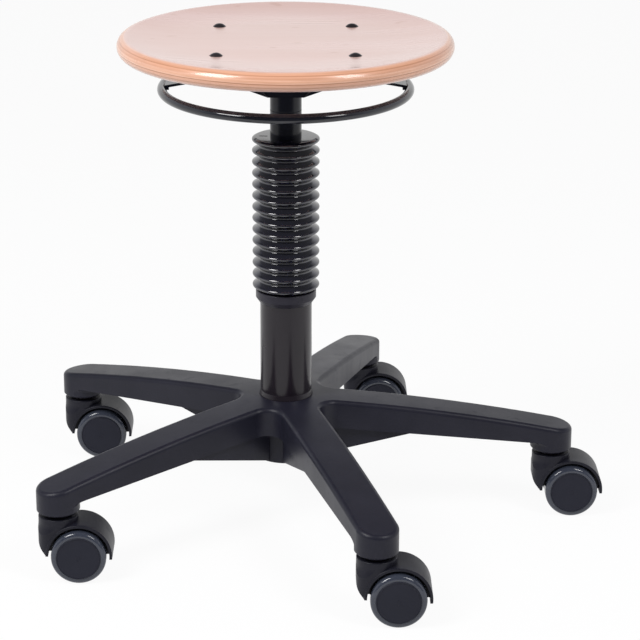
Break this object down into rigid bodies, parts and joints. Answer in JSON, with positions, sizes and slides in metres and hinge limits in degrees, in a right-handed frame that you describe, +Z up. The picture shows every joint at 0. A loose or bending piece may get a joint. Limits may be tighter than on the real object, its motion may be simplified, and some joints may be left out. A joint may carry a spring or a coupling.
{
  "type": "work stool",
  "caption": "Low swivel work stool: dished round plywood seat, ring-released gas lift under a ribbed bellows, moulded star base and hooded twin-wheel casters.",
  "frame": {"origin": "on the floor under the axis of the column", "axes": "+Z up along the column; +X along one arm of the base, the way the casters trail; +Y to the back"},
  "size_m": [0.5445, 0.5484, 0.4799],
  "materials": {
    "beech_ply": "clear satin lacquer over pale beech",
    "bolt_black": "black oxide, satin",
    "socket_paint": "semi-matte black paint",
    "ring_paint": "gloss black powder coat",
    "black_steel": "satin black paint",
    "zinc_steel": "zinc plated",
    "bearing_steel": "ground and polished",
    "bellows_plastic": "gloss black flexible moulding",
    "collar_plastic": "matte charcoal",
    "base_nylon": "fine-grained glass-filled nylon",
    "hood_nylon": "fine-grained nylon",
    "wheel_plastic": "matte disc",
    "tread_rubber": "smooth soft tread with a slight sheen",
    "bush_plastic": "natural acetal",
    "bump_rubber": "black rubber"
  },
  "bodies": {
    "base": {"star_base": "base_nylon", "caster_stems": "black_steel", "grip_rings": "zinc_steel", "column_tube": "black_steel", "column_bottom_plate": "zinc_steel", "guide_bush": "bush_plastic", "bearing_lower_race": "bearing_steel"},
    "lift_core": {"piston_rod": "bearing_steel", "bearing_upper_race": "bearing_steel", "bearing_cage": "bearing_steel", "bump_stop": "bump_rubber", "rod_clip": "zinc_steel", "piston": "bush_plastic", "piston_seal": "bump_rubber", "bellows": "bellows_plastic", "bellows_collar": "collar_plastic"},
    "seat": {"pressure_tube": "black_steel", "inner_tube": "zinc_steel", "rod_guide": "bush_plastic", "valve_body": "zinc_steel", "bellows_cuff": "socket_paint", "seat_socket": "socket_paint", "seat_plate": "socket_paint", "ring_pivot_pin": "zinc_steel", "seat_board": "beech_ply", "seat_bolts": "bolt_black", "seat_nuts": "zinc_steel"},
    "release": {"release_ring": "ring_paint", "release_lever": "ring_paint"},
    "valve": {"valve_pin": "zinc_steel"},
    "caster_right": {"hood_right": "hood_nylon", "axle_right": "zinc_steel"},
    "roller_right_a": {"wheel_right_a": "wheel_plastic", "tread_right_a": "tread_rubber"},
    "roller_right_b": {"wheel_right_b": "wheel_plastic", "tread_right_b": "tread_rubber"},
    "caster_back_right": {"hood_back_right": "hood_nylon", "axle_back_right": "zinc_steel"},
    "roller_back_right_a": {"wheel_back_right_a": "wheel_plastic", "tread_back_right_a": "tread_rubber"},
    "roller_back_right_b": {"wheel_back_right_b": "wheel_plastic", "tread_back_right_b": "tread_rubber"},
    "caster_back_left": {"hood_back_left": "hood_nylon", "axle_back_left": "zinc_steel"},
    "roller_back_left_a": {"wheel_back_left_a": "wheel_plastic", "tread_back_left_a": "tread_rubber"},
    "roller_back_left_b": {"wheel_back_left_b": "wheel_plastic", "tread_back_left_b": "tread_rubber"},
    "caster_front_left": {"hood_front_left": "hood_nylon", "axle_front_left": "zinc_steel"},
    "roller_front_left_a": {"wheel_front_left_a": "wheel_plastic", "tread_front_left_a": "tread_rubber"},
    "roller_front_left_b": {"wheel_front_left_b": "wheel_plastic", "tread_front_left_b": "tread_rubber"},
    "caster_front_right": {"hood_front_right": "hood_nylon", "axle_front_right": "zinc_steel"},
    "roller_front_right_a": {"wheel_front_right_a": "wheel_plastic", "tread_front_right_a": "tread_rubber"},
    "roller_front_right_b": {"wheel_front_right_b": "wheel_plastic", "tread_front_right_b": "tread_rubber"}
  },
  "joints": [
    {"name": "seat_swivel", "type": "hinge", "parent": "base", "child": "lift_core", "pos_m": [0, 0, 0.07], "axis": [0, 0, 1], "continuous": true},
    {"name": "seat_lift", "type": "slide", "parent": "lift_core", "child": "seat", "axis": [0, 0, 1], "range_m": [-0.1, 0], "deforming": ["bellows"]},
    {"name": "ring_tilt", "type": "hinge", "parent": "seat", "child": "release", "pos_m": [0.022, 0, 0.4486], "axis": [0, -1, 0], "range_deg": [0, 4], "stiffness_Nm_per_rad": 3, "springref_deg": -11.46},
    {"name": "valve_press", "type": "slide", "parent": "seat", "child": "valve", "axis": [0, 0, 1], "range_m": [-0.0017, 0]},
    {"name": "swivel_right", "type": "hinge", "parent": "base", "child": "caster_right", "pos_m": [0.262, 0, 0.05], "axis": [0, 0, 1], "continuous": true},
    {"name": "roll_right_a", "type": "hinge", "parent": "caster_right", "child": "roller_right_a", "pos_m": [0.2815, 0, 0.0257], "axis": [0, 1, 0], "continuous": true},
    {"name": "roll_right_b", "type": "hinge", "parent": "caster_right", "child": "roller_right_b", "pos_m": [0.2815, 0, 0.0257], "axis": [0, 1, 0], "continuous": true},
    {"name": "swivel_back_right", "type": "hinge", "parent": "base", "child": "caster_back_right", "pos_m": [0.08096, 0.24918, 0.05], "axis": [0, 0, 1], "continuous": true},
    {"name": "roll_back_right_a", "type": "hinge", "parent": "caster_back_right", "child": "roller_back_right_a", "pos_m": [0.10046, 0.24918, 0.0257], "axis": [0, 1, 0], "continuous": true},
    {"name": "roll_back_right_b", "type": "hinge", "parent": "caster_back_right", "child": "roller_back_right_b", "pos_m": [0.10046, 0.24918, 0.0257], "axis": [0, 1, 0], "continuous": true},
    {"name": "swivel_back_left", "type": "hinge", "parent": "base", "child": "caster_back_left", "pos_m": [-0.21196, 0.154, 0.05], "axis": [0, 0, 1], "continuous": true},
    {"name": "roll_back_left_a", "type": "hinge", "parent": "caster_back_left", "child": "roller_back_left_a", "pos_m": [-0.19246, 0.154, 0.0257], "axis": [0, 1, 0], "continuous": true},
    {"name": "roll_back_left_b", "type": "hinge", "parent": "caster_back_left", "child": "roller_back_left_b", "pos_m": [-0.19246, 0.154, 0.0257], "axis": [0, 1, 0], "continuous": true},
    {"name": "swivel_front_left", "type": "hinge", "parent": "base", "child": "caster_front_left", "pos_m": [-0.21196, -0.154, 0.05], "axis": [0, 0, 1], "continuous": true},
    {"name": "roll_front_left_a", "type": "hinge", "parent": "caster_front_left", "child": "roller_front_left_a", "pos_m": [-0.19246, -0.154, 0.0257], "axis": [0, 1, 0], "continuous": true},
    {"name": "roll_front_left_b", "type": "hinge", "parent": "caster_front_left", "child": "roller_front_left_b", "pos_m": [-0.19246, -0.154, 0.0257], "axis": [0, 1, 0], "continuous": true},
    {"name": "swivel_front_right", "type": "hinge", "parent": "base", "child": "caster_front_right", "pos_m": [0.08096, -0.24918, 0.05], "axis": [0, 0, 1], "continuous": true},
    {"name": "roll_front_right_a", "type": "hinge", "parent": "caster_front_right", "child": "roller_front_right_a", "pos_m": [0.10046, -0.24918, 0.0257], "axis": [0, 1, 0], "continuous": true},
    {"name": "roll_front_right_b", "type": "hinge", "parent": "caster_front_right", "child": "roller_front_right_b", "pos_m": [0.10046, -0.24918, 0.0257], "axis": [0, 1, 0], "continuous": true}
  ],
  "couplings": [
    {"joint": "valve_press", "follows": "ring_tilt", "m_per_rad": -0.022}
  ]
}
